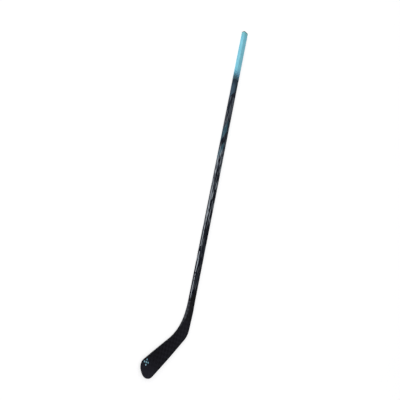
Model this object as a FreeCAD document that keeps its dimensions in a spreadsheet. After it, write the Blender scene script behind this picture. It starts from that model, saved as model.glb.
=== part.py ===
import FreeCAD, Part
import math
import os

import Sketcher

# Ice hockey stick, right-handed, lying on the wide back of its shaft with the forehand face up.
# X runs along the shaft from the butt to the blade, the toe points towards -Y, and +Z is up.
# The origin is the centre of the flat underside of the bare shaft, between the grip and the hosel.

V = FreeCAD.Vector

# Driving dimensions in millimetres, and angles in degrees.
SIZES = {
    # Shaft: a hollow tube of rounded rectangular section.
    "shaft_width": 30.0,
    "shaft_thickness": 20.0,
    "shaft_corner_radius": 6.0,
    "shaft_wall": 1.8,
    "bare_shaft_length": 1094.0,
    # Grip: a sleeve in a shallow seat on the top end of the shaft.
    "grip_length": 275.0,
    "grip_thickness": 0.8,
    "grip_seat_depth": 0.4,
    # Butt plug: a cap with a hollow insert, glued into the bore.
    "cap_thickness": 5.0,
    "cap_edge_radius": 3.4,
    "plug_insert_length": 40.0,
    "plug_wall": 2.0,
    "plug_glue_gap": 0.3,
    "plug_glue_length": 25.0,
    # Tenon: the hollow spigot of the blade, glued into the lower end of the bore.
    "tenon_reach": 60.0,
    "tenon_root": 30.0,
    "tenon_wall": 2.2,
    "tenon_glue_gap": 0.3,
    # Hosel: the neck that thins and widens from the shaft to the blade.
    "joint_height": 140.9,
    "hosel_length": 80.0,
    "hosel_wall": 1.8,
    "hosel_end_thickness": 14.3,
    "hosel_end_radius": 1.8,
    # Blade outline, measured from the point where the back of the shaft would meet the bottom edge.
    # The bottom edge is rockered: it dips by the rocker angle from both ends to its middle.
    "lie_angle": 139.1,
    "blade_length": 286.3,
    "toe_height": 80.6,
    "toe_height_setback": 35.0,
    "top_taper_angle": 8.1,
    "toe_lean_angle": 14.0,
    "rocker_angle": 1.75,
    "heel_radius": 77.0,
    "rocker_radius": 2150.0,
    "lower_toe_radius": 37.0,
    "upper_toe_radius": 33.0,
    "throat_radius": 214.0,
    # Blade thickness and curve.
    "heel_thickness": 10.4,
    "mid_blade_thickness": 8.6,
    "toe_thickness": 6.0,
    "curve_depth": 10.0,
    "curve_start_height": 20.0,
    # Blade laminate.
    "skin_thickness": 1.0,
    "core_bond_gap": 0.2,
    "edge_rail_width": 5.0,
    "rib_width": 6.0,
    "rib_heel_height": 27.0,
    # Toe mark: a small check of thin film squares, each in a shallow seat in the forehand face.
    "mark_film": 0.15,
    "mark_seat_depth": 0.05,
    "mark_bond_gap": 0.03,
    "mark_seat_gap": 0.1,
    "mark_square": 6.0,
    "mark_square_gap": 1.2,
    "mark_toe_margin": 31.0,
    "mark_top_margin": 4.0,
    # How far a cutting shape runs past what it cuts.
    "cut_overrun": 20.0,
}

# Where the blade's mid and toe thickness are set, from the heel along the shaft's line.
MID_STATION_SHARE = 0.35
TOE_STATION_SHARE = 0.714
# Height on the toe, as a share of the toe height, at which the blade length is measured.
TOE_REACH_SHARE = 0.55
# Sections of the hosel below the tenon, and how quickly it thins towards the blade.
HOSEL_SECTION_SHARES = (0.0, 0.34, 0.67, 1.0)
HOSEL_THINNING_POWER = 1.6
# Rows and columns of the toe mark, of which every other square is laid.
MARK_ROWS = 3
RIGHT_ANGLE = 90

# Sizes that follow from the driving ones, written as cell expressions.
BORE_WIDTH = "(Sizes.shaft_width - 2 * Sizes.shaft_wall)"
BORE_HEIGHT = "(Sizes.shaft_thickness - 2 * Sizes.shaft_wall)"
BORE_RADIUS = "(Sizes.shaft_corner_radius - Sizes.shaft_wall)"
GRIP_START = "(-Sizes.bare_shaft_length / 2)"
BUTT_END = f"({GRIP_START} - Sizes.grip_length)"
JOINT = "(Sizes.bare_shaft_length / 2)"
TENON_TOP = f"({JOINT} - Sizes.tenon_reach)"


def make_sheet(doc):
    """Keep the driving dimensions in named cells."""
    sheet = doc.addObject("Spreadsheet::Sheet", "Sizes")
    for row, (alias, value) in enumerate(SIZES.items(), start=1):
        sheet.set(f"A{row}", alias)
        sheet.set(f"B{row}", str(value))
        sheet.setAlias(f"B{row}", alias)
    doc.recompute()
    return sheet


# Straight pieces: rounded rectangles across the shaft, padded along it.

def inset_section(width, height, radius, inset):
    """A rounded rectangle moved inwards by an inset, as three cell expressions."""
    return f"({width} - 2 * {inset})", f"({height} - 2 * {inset})", f"({radius} - {inset})"


def shaft_section():
    return "Sizes.shaft_width", "Sizes.shaft_thickness", "Sizes.shaft_corner_radius"


def seat_section():
    return inset_section(*shaft_section(), "Sizes.grip_seat_depth")


def grip_section():
    return inset_section(*seat_section(), "(-Sizes.grip_thickness)")


def bore_section():
    return BORE_WIDTH, BORE_HEIGHT, BORE_RADIUS


def insert_section():
    return inset_section(*bore_section(), "Sizes.plug_glue_gap")


def tenon_section():
    return inset_section(*bore_section(), "Sizes.tenon_glue_gap")


def tenon_hollow_section():
    return inset_section(*tenon_section(), "Sizes.tenon_wall")


def add_rounded_rectangle(sketch, name, section):
    """Draw a rounded rectangle about the shaft's axis and bind its sizes to the cells."""
    width_words, height_words, radius_words = section
    width, height, radius = (sketch.evalExpression(words) for words in section)
    crown_words = f"(Sizes.shaft_thickness + {height_words}) / 2"
    right = width / 2
    top = sketch.evalExpression(crown_words)
    bottom = top - height
    ends = [
        (V(radius - right, bottom), V(right - radius, bottom)),
        (V(right, bottom + radius), V(right, top - radius)),
        (V(right - radius, top), V(radius - right, top)),
        (V(-right, top - radius), V(-right, bottom + radius)),
    ]
    centres = [
        V(right - radius, bottom + radius),
        V(right - radius, top - radius),
        V(radius - right, top - radius),
        V(radius - right, bottom + radius),
    ]
    lines = [sketch.addGeometry(Part.LineSegment(*pair), False) for pair in ends]
    arcs = []
    for corner, centre in enumerate(centres):
        circle = Part.Circle(centre, V(0, 0, 1), radius)
        start = (corner - 1) * math.pi / 2
        arcs.append(sketch.addGeometry(Part.ArcOfCircle(circle, start, start + math.pi / 2), False))
    for corner in range(4):
        following = (corner + 1) % 4
        sketch.addConstraint(Sketcher.Constraint("Tangent", lines[corner], 2, arcs[corner], 1))
        sketch.addConstraint(Sketcher.Constraint("Tangent", arcs[corner], 2, lines[following], 1))
        direction = "Horizontal" if corner % 2 == 0 else "Vertical"
        sketch.addConstraint(Sketcher.Constraint(direction, lines[corner]))
    for arc in arcs[1:]:
        sketch.addConstraint(Sketcher.Constraint("Equal", arcs[0], arc))
    sized = {
        "width": (Sketcher.Constraint("DistanceX", lines[3], 1, lines[1], 1, width), width_words),
        "height": (Sketcher.Constraint("DistanceY", lines[0], 1, lines[2], 1, height), height_words),
        "radius": (Sketcher.Constraint("Radius", arcs[0], radius), radius_words),
        "side": (Sketcher.Constraint("DistanceX", lines[1], 1, right), f"{width_words} / 2"),
        "crown": (Sketcher.Constraint("DistanceY", lines[2], 1, top), crown_words),
    }
    for size_name, (constraint, words) in sized.items():
        index = sketch.addConstraint(constraint)
        sketch.renameConstraint(index, f"{name}_{size_name}")
        sketch.setExpression(f"Constraints.{name}_{size_name}", words)


def add_pad(body, name, station, length, sections, backwards=False):
    """Pad one rounded rectangle, or the ring between two, along the shaft from a station."""
    sketch = body.newObject("Sketcher::SketchObject", f"{name}_sketch")
    plane = next(item for item in body.Origin.OriginFeatures if item.Role == "YZ_Plane")
    sketch.AttachmentSupport = (plane, [""])
    sketch.MapMode = "FlatFace"
    sketch.setExpression("AttachmentOffset.Base.z", station)
    for section_name, section in zip(("outer", "inner"), sections):
        add_rounded_rectangle(sketch, section_name, section)
    pad = body.newObject("PartDesign::Pad", name)
    pad.Profile = sketch
    pad.Reversed = backwards
    pad.setExpression("Length", length)
    body.Document.recompute()
    return pad


def make_body(doc, label):
    body = doc.addObject("PartDesign::Body", label)
    body.Label = label
    return body


def make_shaft_tube(doc):
    """Carbon tube: the bare run at full section, and the grip seat, slightly slimmer."""
    body = make_body(doc, "shaft_tube")
    full_ring = (shaft_section(), bore_section())
    seat_ring = (seat_section(), bore_section())
    add_pad(body, "bare_run", GRIP_START, "Sizes.bare_shaft_length", full_ring)
    add_pad(body, "grip_seat", GRIP_START, "Sizes.grip_length", seat_ring, backwards=True)
    return body


def make_grip_sleeve(doc):
    """Tacky sleeve that fills the seat and stands a little proud of the shaft."""
    body = make_body(doc, "grip_sleeve")
    ring = (grip_section(), seat_section())
    add_pad(body, "sleeve", GRIP_START, "Sizes.grip_length", ring, backwards=True)
    return body


def make_butt_plug(doc):
    """Cap over the end of tube and sleeve, with rounded edges, and a hollow insert in the bore."""
    body = make_body(doc, "butt_plug")
    cap = add_pad(body, "cap", BUTT_END, "Sizes.cap_thickness", (grip_section(),), backwards=True)
    outer_face_x = cap.Shape.BoundBox.XMin
    rim = [
        f"Edge{index}"
        for index, edge in enumerate(cap.Shape.Edges, start=1)
        if abs(edge.BoundBox.XMax - outer_face_x) < Part.Precision.confusion()
    ]
    rounding = body.newObject("PartDesign::Fillet", "cap_rounding")
    rounding.Base = (cap, rim)
    rounding.setExpression("Radius", "Sizes.cap_edge_radius")
    doc.recompute()
    hollow = inset_section(*insert_section(), "Sizes.plug_wall")
    add_pad(body, "insert", BUTT_END, "Sizes.plug_insert_length", (insert_section(), hollow))
    return body


def make_plug_glue(doc):
    """Glue between the plug's insert and the bore."""
    body = make_body(doc, "plug_glue")
    add_pad(body, "glue", BUTT_END, "Sizes.plug_glue_length", (bore_section(), insert_section()))
    return body


def make_tenon(doc):
    """Hollow spigot that reaches up into the shaft and is rooted in the hosel."""
    body = make_body(doc, "tenon")
    length = "Sizes.tenon_reach + Sizes.tenon_root"
    add_pad(body, "spigot", TENON_TOP, length, (tenon_section(), tenon_hollow_section()))
    return body


def make_tenon_glue(doc):
    """Glue between the tenon and the bore."""
    body = make_body(doc, "tenon_glue")
    add_pad(body, "glue", TENON_TOP, "Sizes.tenon_reach", (bore_section(), tenon_section()))
    return body


# Blade outline: straight edges joined by arcs, seen from above.

def rounded_corner(before, corner, after, radius):
    """Start, middle and end of the arc that rounds a corner between two straight edges."""
    arriving = (corner - before).normalize()
    leaving = (after - corner).normalize()
    half_turn = arriving.getAngle(leaving) / 2
    reach = radius * math.tan(half_turn)
    inward = (leaving - arriving).normalize()
    middle = corner + inward * (radius / math.cos(half_turn) - radius)
    return corner - arriving * reach, middle, corner + leaving * reach


def meeting_point(first, second):
    """Point where two lines, each a point and a direction, cross."""
    (first_point, first_way), (second_point, second_way) = first, second
    offset = second_point - first_point
    share = offset.cross(second_way).z / first_way.cross(second_way).z
    return first_point + first_way * share


class Blade:
    """Places on the blade, worked out from the cells."""

    def __init__(self, sheet):
        self.size = {alias: sheet.get(alias) for alias in SIZES}
        size = self.size
        lie = math.radians(size["lie_angle"])
        self.joint_x = size["bare_shaft_length"] / 2
        self.split_x = self.joint_x + size["hosel_length"]
        self.heel_x = self.joint_x + size["joint_height"]
        self.mid_x = self.heel_x + MID_STATION_SHARE * size["blade_length"]
        self.toe_x = self.heel_x + TOE_STATION_SHARE * size["blade_length"]
        self.half_width = size["shaft_width"] / 2
        self.heel = V(self.heel_x, self.half_width)
        self.along = V(-math.cos(lie), -math.sin(lie))
        self.upward = V(-math.sin(lie), math.cos(lie))

    def place(self, along, upward):
        """Point at a distance along the bottom edge from the heel and a height above it."""
        return self.heel + self.along * along + self.upward * upward

    def way(self, angle):
        """Direction along the blade, raised by an angle."""
        turn = math.radians(angle)
        return self.along * math.cos(turn) + self.upward * math.sin(turn)

    def corners(self, inset):
        """Unrounded corners of the outline, from the back of the joint round to its front."""
        size = self.size
        rocker = size["rocker_angle"]
        top_way = self.way(size["top_taper_angle"])
        toe_way = self.way(RIGHT_ANGLE + size["toe_lean_angle"])
        toe_point = self.place(size["blade_length"], TOE_REACH_SHARE * size["toe_height"])
        top_point = self.place(size["blade_length"] - size["toe_height_setback"], size["toe_height"])
        edges = [
            (V(0, self.half_width), V(1, 0)),
            (self.heel, self.way(-rocker)),
            (self.place(size["blade_length"], 0), self.way(rocker)),
            (toe_point, toe_way),
            (top_point, -top_way),
            (V(0, -self.half_width), V(-1, 0)),
        ]
        moved = [(point + V(way.y, -way.x) * inset, way) for point, way in edges]
        inner = [meeting_point(first, second) for first, second in zip(moved, moved[1:])]
        joint_back = V(self.joint_x, moved[0][0].y)
        joint_front = V(self.joint_x, moved[-1][0].y)
        return [joint_back, *inner, joint_front]

    def front_edge(self, x):
        """Place of the front edge across the shaft, which swings out along the throat."""
        radius = self.size["throat_radius"]
        _, top, throat, joint_front = self.corners(0)[-4:]
        throat_start = rounded_corner(top, throat, joint_front, radius)[2].x
        run = max(0, x - throat_start)
        return math.sqrt(radius ** 2 - run ** 2) - radius - self.half_width

    def hosel_thickness(self, x):
        """Thickness of the hosel: full over the tenon's root, then thinning to the blade."""
        size = self.size
        start = self.joint_x + size["tenon_root"]
        share = max(0, (x - start) / (self.split_x - start))
        loss = size["shaft_thickness"] - size["hosel_end_thickness"]
        return size["shaft_thickness"] - loss * share ** HOSEL_THINNING_POWER

    def hosel_radius(self, x):
        """Corner radius of the hosel, from the shaft's to the blade's."""
        share = (x - self.joint_x) / (self.split_x - self.joint_x)
        loss = self.size["shaft_corner_radius"] - self.size["hosel_end_radius"]
        return self.size["shaft_corner_radius"] - loss * share

    def middle(self, x):
        """Height of the blade's middle surface, which curves up towards the toe."""
        size = self.size
        start = self.heel_x - size["curve_start_height"]
        share = max(0, (x - start) / (self.toe_x - start))
        return size["shaft_thickness"] / 2 + size["curve_depth"] * share ** 2

    def stations(self):
        """Places along the shaft's line where the blade's thickness is set, with that thickness."""
        size = self.size
        end_x = self.toe_x + size["cut_overrun"]
        return [
            (self.split_x, size["hosel_end_thickness"]),
            (self.heel_x, size["heel_thickness"]),
            (self.mid_x, size["mid_blade_thickness"]),
            (self.toe_x, size["toe_thickness"]),
            (end_x, size["toe_thickness"]),
        ]

    def face_curve(self, side, depth):
        """Curve of a face seen from the side, a depth below the forehand (1) or backhand (-1) face."""
        points = [
            V(x, self.middle(x) + side * (thickness / 2 - depth))
            for x, thickness in self.stations()
        ]
        curve = Part.BSplineCurve()
        curve.interpolate(points)
        return curve


def arc_geometry(start, middle, end):
    """Arc through three points as a counter-clockwise sketch arc, and whether it ran that way."""
    arc = Part.ArcOfCircle(start, middle, end)
    forwards = arc.Axis.z > 0
    first, last = (start, end) if forwards else (end, start)
    circle = Part.Circle(arc.Center, V(0, 0, 1), arc.Radius)
    return Part.ArcOfCircle(circle, circle.parameter(first), circle.parameter(last)), forwards


def make_outline_sketch(doc, blade, name, inset_cell=None):
    """Closed outline of blade and hosel seen from above, with its radii bound to the cells."""
    size = blade.size
    inset = size[inset_cell] if inset_cell else 0
    sketch = doc.addObject("Sketcher::SketchObject", name)
    corners = blade.corners(inset)
    radius_cells = ("heel_radius", "rocker_radius", "lower_toe_radius", "upper_toe_radius", "throat_radius")
    at = corners[0]
    arcs = []
    for number, cell in enumerate(radius_cells, start=1):
        swell = inset if cell == "throat_radius" else -inset
        ends = rounded_corner(*corners[number - 1:number + 2], size[cell] + swell)
        line = sketch.addGeometry(Part.LineSegment(at, ends[0]), False)
        arc, forwards = arc_geometry(*ends)
        arcs.append((line, sketch.addGeometry(arc, False), forwards))
        at = ends[2]
    last_line = sketch.addGeometry(Part.LineSegment(at, corners[-1]), False)
    sketch.addGeometry(Part.LineSegment(corners[-1], corners[0]), False)
    following_lines = [line for line, _, _ in arcs[1:]] + [last_line]
    for (line, arc, forwards), following in zip(arcs, following_lines):
        arc_start, arc_end = (1, 2) if forwards else (2, 1)
        sketch.addConstraint(Sketcher.Constraint("Tangent", line, 2, arc, arc_start))
        sketch.addConstraint(Sketcher.Constraint("Tangent", arc, arc_end, following, 1))
    for (_, arc, _), cell in zip(arcs, radius_cells):
        sign = "+" if cell == "throat_radius" else "-"
        words = f"Sizes.{cell} {sign} Sizes.{inset_cell}" if inset_cell else f"Sizes.{cell}"
        radius = sketch.evalExpression(words)
        index = sketch.addConstraint(Sketcher.Constraint("Radius", arc, radius))
        sketch.renameConstraint(index, cell)
        sketch.setExpression(f"Constraints.{cell}", words)
    return sketch


def make_polygon_sketch(doc, name, polygons):
    """Closed straight-sided figures seen from above."""
    sketch = doc.addObject("Sketcher::SketchObject", name)
    for points in polygons:
        for start, end in zip(points, points[1:] + points[:1]):
            sketch.addGeometry(Part.LineSegment(start, end), False)
    return sketch


def make_prism(doc, sketch, name):
    """Extrude a plan figure upwards, from below the shaft to above the toe."""
    sketch.setExpression("Placement.Base.z", "-Sizes.cut_overrun")
    prism = doc.addObject("Part::Extrusion", name)
    prism.Base = sketch
    prism.DirMode = "Normal"
    prism.Solid = True
    prism.setExpression("LengthFwd", "Sizes.shaft_thickness + Sizes.curve_depth + 2 * Sizes.cut_overrun")
    return prism


def make_layer(doc, name, lower, upper):
    """Curved slab between two face curves, from the hosel to past the toe."""
    sketch = doc.addObject("Sketcher::SketchObject", f"{name}_profile")
    sketch.addGeometry(lower, False)
    sketch.addGeometry(Part.LineSegment(lower.EndPoint, upper.EndPoint), False)
    sketch.addGeometry(upper, False)
    sketch.addGeometry(Part.LineSegment(upper.StartPoint, lower.StartPoint), False)
    sketch.Placement = FreeCAD.Placement(V(0, 0, 0), FreeCAD.Rotation(V(1, 0, 0), RIGHT_ANGLE))
    sketch.setExpression("Placement.Base.y", "Sizes.shaft_width / 2 + Sizes.cut_overrun")
    layer = doc.addObject("Part::Extrusion", name)
    layer.Base = sketch
    layer.DirMode = "Normal"
    layer.Solid = True
    layer.setExpression("LengthFwd", "Sizes.blade_length + Sizes.shaft_width + 2 * Sizes.cut_overrun")
    return layer


def make_common(doc, label, shapes):
    piece = doc.addObject("Part::MultiCommon", label)
    piece.Label = label
    piece.Shapes = shapes
    return piece


def make_cut(doc, label, base, tool):
    piece = doc.addObject("Part::Cut", label)
    piece.Label = label
    piece.Base = base
    piece.Tool = tool
    return piece


# Hosel: a loft through rounded rectangles from the shaft's section to the blade's.

def hosel_section_wire(blade, x, inset):
    """Section of the hosel at a station, moved inwards by a wall."""
    half_height = blade.hosel_thickness(x) / 2 - inset
    centre_z = blade.size["shaft_thickness"] / 2
    back = blade.half_width - inset
    front = blade.front_edge(x) + inset
    corners = [
        V(x, front, centre_z - half_height),
        V(x, back, centre_z - half_height),
        V(x, back, centre_z + half_height),
        V(x, front, centre_z + half_height),
    ]
    radius = blade.hosel_radius(x) - inset * blade.hosel_radius(x) / blade.size["shaft_corner_radius"]
    edges = []
    rounds = [
        rounded_corner(corners[number - 1], corners[number], corners[(number + 1) % 4], radius)
        for number in range(4)
    ]
    for number, (start, middle, end) in enumerate(rounds):
        edges.append(Part.Arc(start, middle, end).toShape())
        edges.append(Part.LineSegment(end, rounds[(number + 1) % 4][0]).toShape())
    return Part.Wire(edges)


def make_hosel_loft(doc, blade, name, stations, inset):
    """Solid loft through hosel sections at the given stations."""
    loft = doc.addObject("Part::Feature", name)
    loft.Shape = Part.makeLoft([hosel_section_wire(blade, x, inset) for x in stations], True)
    return loft


def make_hosel(doc, blade):
    """Carbon neck shell with a socket for the tenon, and the foam that fills neck and tenon."""
    root_x = blade.joint_x + blade.size["tenon_root"]
    below_root = [root_x + share * (blade.split_x - root_x) for share in HOSEL_SECTION_SHARES]
    form = make_hosel_loft(doc, blade, "hosel_form", [blade.joint_x, *below_root], 0)
    cavity = make_hosel_loft(doc, blade, "hosel_cavity", below_root, blade.size["hosel_wall"])
    socket = make_body(doc, "hosel_socket")
    add_pad(socket, "socket_fill", JOINT, "Sizes.tenon_root", (tenon_section(),))
    walled = make_cut(doc, "hosel_walled", form, cavity)
    shell = make_cut(doc, "hosel_shell", walled, socket)
    foam_stem = make_body(doc, "tenon_foam")
    length = "Sizes.tenon_reach + Sizes.tenon_root"
    add_pad(foam_stem, "stem", TENON_TOP, length, (tenon_hollow_section(),))
    core = doc.addObject("Part::Fuse", "hosel_core")
    core.Label = "hosel_core"
    core.Base = cavity
    core.Tool = foam_stem
    return [shell, core]


# Blade: two skins, and between them an edge rail, a rib and two foam cores.

def rib_regions(blade):
    """Plan figures of the rib and of all that lies above and below it, along the blade's middle."""
    size = blade.size
    start = blade.place(0, size["rib_heel_height"])
    end = blade.place(size["blade_length"], size["toe_height"] / 2)
    way = (end - start).normalize()
    across = V(way.y, -way.x)
    limit = size["blade_length"]
    first = start - way * limit
    last = end + way * limit
    half_rib = size["rib_width"] / 2
    bands = {
        "upper_region": (half_rib, limit),
        "rib_region": (-half_rib, half_rib),
        "lower_region": (-limit, -half_rib),
    }
    return {
        name: [first + across * low, last + across * low, last + across * high, first + across * high]
        for name, (low, high) in bands.items()
    }


def mark_squares(blade, swell):
    """Plan figures of the check under the top of the toe, its rows along the top edge, each swelled."""
    size = blade.size
    side = size["mark_square"] + 2 * swell
    step = size["mark_square"] + size["mark_square_gap"]
    back = -blade.way(size["top_taper_angle"])
    down = -blade.way(RIGHT_ANGLE + size["top_taper_angle"])
    reach = size["blade_length"] - size["mark_toe_margin"]
    start = blade.place(reach, size["toe_height"] - size["mark_top_margin"])
    squares = []
    for row in range(MARK_ROWS):
        for column in range(row % 2, MARK_ROWS, 2):
            top = start + back * (column * step - swell) + down * (row * step - swell)
            foot = top + down * side
            squares.append([top, top + back * side, foot + back * side, foot])
    return squares


def make_blade(doc, blade):
    """All pieces of the blade, cut from the same outline and the same layers."""
    size = blade.size
    skin = size["skin_thickness"]
    outline = make_prism(doc, make_outline_sketch(doc, blade, "outline"), "outline_prism")
    inner_sketch = make_outline_sketch(doc, blade, "inner_outline", "edge_rail_width")
    inner = make_prism(doc, inner_sketch, "inner_prism")
    forehand = make_layer(doc, "forehand_layer", blade.face_curve(1, skin), blade.face_curve(1, 0))
    backhand = make_layer(doc, "backhand_layer", blade.face_curve(-1, 0), blade.face_curve(-1, skin))
    middle = make_layer(doc, "middle_layer", blade.face_curve(-1, skin), blade.face_curve(1, skin))
    core_depth = skin + size["core_bond_gap"]
    core = make_layer(doc, "core_layer", blade.face_curve(-1, core_depth), blade.face_curve(1, core_depth))
    above = blade.face_curve(1, -size["cut_overrun"])
    seat = make_layer(doc, "seat_layer", blade.face_curve(1, size["mark_seat_depth"]), above)
    film_depth = size["mark_seat_depth"] - size["mark_bond_gap"]
    film_top = blade.face_curve(1, film_depth - size["mark_film"])
    film = make_layer(doc, "film_layer", blade.face_curve(1, film_depth), film_top)
    regions = {
        name: make_prism(doc, make_polygon_sketch(doc, f"{name}_sketch", [points]), name)
        for name, points in rib_regions(blade).items()
    }
    mark_sketch = make_polygon_sketch(doc, "mark_sketch", mark_squares(blade, 0))
    squares = make_prism(doc, mark_sketch, "mark_prism")
    seat_sketch = make_polygon_sketch(doc, "seat_sketch", mark_squares(blade, size["mark_seat_gap"]))
    seats = make_common(doc, "mark_seats", [make_prism(doc, seat_sketch, "seat_prism"), seat])
    plain_skin = make_common(doc, "plain_skin", [outline, forehand])
    filling = make_common(doc, "blade_filling", [outline, middle])
    return [
        make_cut(doc, "blade_forehand_skin", plain_skin, seats),
        make_common(doc, "blade_backhand_skin", [outline, backhand]),
        make_cut(doc, "blade_edge_rail", filling, inner),
        make_common(doc, "blade_rib", [inner, middle, regions["rib_region"]]),
        make_common(doc, "blade_core_upper", [inner, core, regions["upper_region"]]),
        make_common(doc, "blade_core_lower", [inner, core, regions["lower_region"]]),
        make_common(doc, "toe_mark", [squares, film]),
    ]


def check_model(doc, pieces):
    """Stop if any object failed or any piece is empty or not valid."""
    for item in doc.Objects:
        if "Invalid" in item.State or "Error" in item.State:
            raise RuntimeError(f"{item.Label} could not be built: {item.State}")
    for piece in pieces:
        if piece.Shape.isNull() or not piece.Shape.isValid() or not piece.Shape.Solids:
            raise RuntimeError(f"{piece.Label} has no valid solid")


def main():
    doc = FreeCAD.newDocument("hockey_stick")
    sheet = make_sheet(doc)
    blade = Blade(sheet)
    pieces = [make_shaft_tube(doc), make_grip_sleeve(doc), make_butt_plug(doc), make_plug_glue(doc)]
    pieces += [make_tenon(doc), make_tenon_glue(doc)]
    pieces += make_hosel(doc, blade)
    pieces += make_blade(doc, blade)
    doc.recompute()
    check_model(doc, pieces)
    os.makedirs("parts", exist_ok=True)
    for piece in pieces:
        piece.Shape.exportStep(f"parts/{piece.Label}.step")
        print(f"{piece.Label}: {len(piece.Shape.Solids)} solids, {piece.Shape.Volume:.1f} mm3")


main()
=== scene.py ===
# %% [markdown]
# # An ice hockey stick, dressed round its CAD frame
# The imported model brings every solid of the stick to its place, in metres. X runs along the shaft from
# the butt to the blade, the toe points towards -Y, and the forehand face looks up. This lesson builds a
# finer skin round each solid that can be seen and leaves the solids inside where they are. The first cell
# loads the frame and keeps its box, because the dressed stick may not grow out of it.

# %% Load the frame
import math

import bmesh
import bpy
import numpy
from mathutils import Matrix, Vector
from mathutils.geometry import intersect_line_line


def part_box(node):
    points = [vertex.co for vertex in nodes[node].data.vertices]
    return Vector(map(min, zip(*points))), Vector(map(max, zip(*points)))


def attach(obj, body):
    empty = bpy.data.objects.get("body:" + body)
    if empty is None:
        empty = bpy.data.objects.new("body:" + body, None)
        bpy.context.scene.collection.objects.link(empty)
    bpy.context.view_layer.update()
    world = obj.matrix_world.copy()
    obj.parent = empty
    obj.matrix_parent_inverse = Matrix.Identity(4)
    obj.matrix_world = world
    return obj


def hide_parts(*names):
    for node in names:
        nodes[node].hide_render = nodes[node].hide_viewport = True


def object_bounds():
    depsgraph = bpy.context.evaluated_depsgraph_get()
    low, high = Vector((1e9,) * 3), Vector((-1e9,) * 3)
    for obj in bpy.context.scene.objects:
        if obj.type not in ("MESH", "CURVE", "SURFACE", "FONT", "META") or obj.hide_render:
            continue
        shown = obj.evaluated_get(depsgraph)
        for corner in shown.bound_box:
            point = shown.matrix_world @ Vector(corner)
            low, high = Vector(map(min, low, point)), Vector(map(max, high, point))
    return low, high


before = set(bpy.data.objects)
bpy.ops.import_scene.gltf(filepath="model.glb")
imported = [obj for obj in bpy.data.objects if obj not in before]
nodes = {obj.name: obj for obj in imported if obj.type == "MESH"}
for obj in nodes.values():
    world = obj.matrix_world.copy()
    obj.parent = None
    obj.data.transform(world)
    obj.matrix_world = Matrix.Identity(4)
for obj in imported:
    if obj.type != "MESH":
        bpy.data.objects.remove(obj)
cad_low, cad_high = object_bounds()
print("solids:", ", ".join(sorted(nodes)))
print("box in mm:", [round(1000 * side, 1) for side in cad_high - cad_low])

# %% [markdown]
# ## Sections and lofts
# Shaft, grip, plug and hosel are all rounded rectangles that follow each other along X. Such a section
# could be typed as a list of points. Here a grid of one square is stretched to size and its four corners
# are bevelled, so that the operator works out the arcs. Bridging the sections one after the other makes a
# loft. A tube's wall is a loft that goes down the outside, back up the inside and closes on itself.

# %% One rounded section
MM = 0.001
CORNER_SEGMENTS, FLAT_WITHIN = 8, 0.01


def walk_round(edges):
    """Share of the way round a loop for each vertex, from the right end of its flat underside."""
    verts = {vert for edge in edges for vert in edge.verts}
    low = min(vert.co.z for vert in verts)
    flat = [vert for vert in verts if vert.co.z - low < FLAT_WITHIN * MM]
    here = max(flat, key=lambda vert: vert.co.y)
    onward = min((edge for edge in edges if here in edge.verts), key=lambda edge: edge.other_vert(here).co.y)
    total = sum(edge.calc_length() for edge in edges)
    shares, done = {}, 0.0
    while here not in shares:
        shares[here] = done / total
        done += onward.calc_length()
        here = onward.other_vert(here)
        onward = next(edge for edge in edges if here in edge.verts and edge is not onward)
    return shares


def add_section(mesh, x, front, back, low, high, radius):
    """Add one rounded rectangle across the stick, sizes in mm, and return its loop of edges."""
    before = set(mesh.edges)
    place = Matrix((
        (0, 0, 1, x * MM),
        ((back - front) * MM, 0, 0, (back + front) / 2 * MM),
        (0, (high - low) * MM, 0, (high + low) / 2 * MM),
        (0, 0, 0, 1),
    ))
    square = bmesh.ops.create_grid(mesh, x_segments=1, y_segments=1, size=0.5, matrix=place)
    bmesh.ops.bevel(
        mesh, geom=square["verts"], offset=radius * MM, offset_type="OFFSET",
        segments=CORNER_SEGMENTS, profile=0.5, affect="VERTICES", material=-1,
    )
    loop = [edge for edge in mesh.edges if edge not in before]
    filled = {face for edge in loop for face in edge.link_faces}
    bmesh.ops.delete(mesh, geom=list(filled), context="FACES_ONLY")
    return loop


# %% A loft, with a map for what is printed on it
def loft(sections, closed):
    """Bridge sections in turn. Closed joins the last to the first, otherwise both ends are filled."""
    mesh = bmesh.new()
    loops = [add_section(mesh, *section) for section in sections]
    shares = {}
    for loop in loops:
        shares.update(walk_round(loop))
    steps = [(index, (index + 1) % len(loops)) for index in range(len(loops) if closed else len(loops) - 1)]
    # Flat rings come first: once a wall stands on one of its loops, the bridge may turn that loop over.
    steps.sort(key=lambda step: sections[step[0]][0] != sections[step[1]][0])
    for first, second in steps:
        bmesh.ops.bridge_loops(mesh, edges=loops[first] + loops[second])
    if not closed:
        for end in (loops[0], loops[-1]):
            bmesh.ops.contextual_create(mesh, geom=end)
    layer = mesh.loops.layers.uv.new("wrap")
    for face in mesh.faces:
        around = [shares[corner.vert] for corner in face.loops]
        crosses = max(around) - min(around) > 0.5
        for corner, share in zip(face.loops, around):
            corner[layer].uv = (corner.vert.co.x, share + (crosses and share < 0.5))
    return mesh


# %% [markdown]
# ## From mesh to piece
# Every piece ends the same way: its normals point outwards, its faces are shaded smooth except across
# sharp edges, it rides on the stick's one body, and it takes the place of the solid it was built round.
# That could be written out for each piece, but one function forgets no step. Weighted normals keep the
# wide flats flat next to their small round corners.

# %% Finish a piece
SHARP_ANGLE = math.radians(35)


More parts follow.
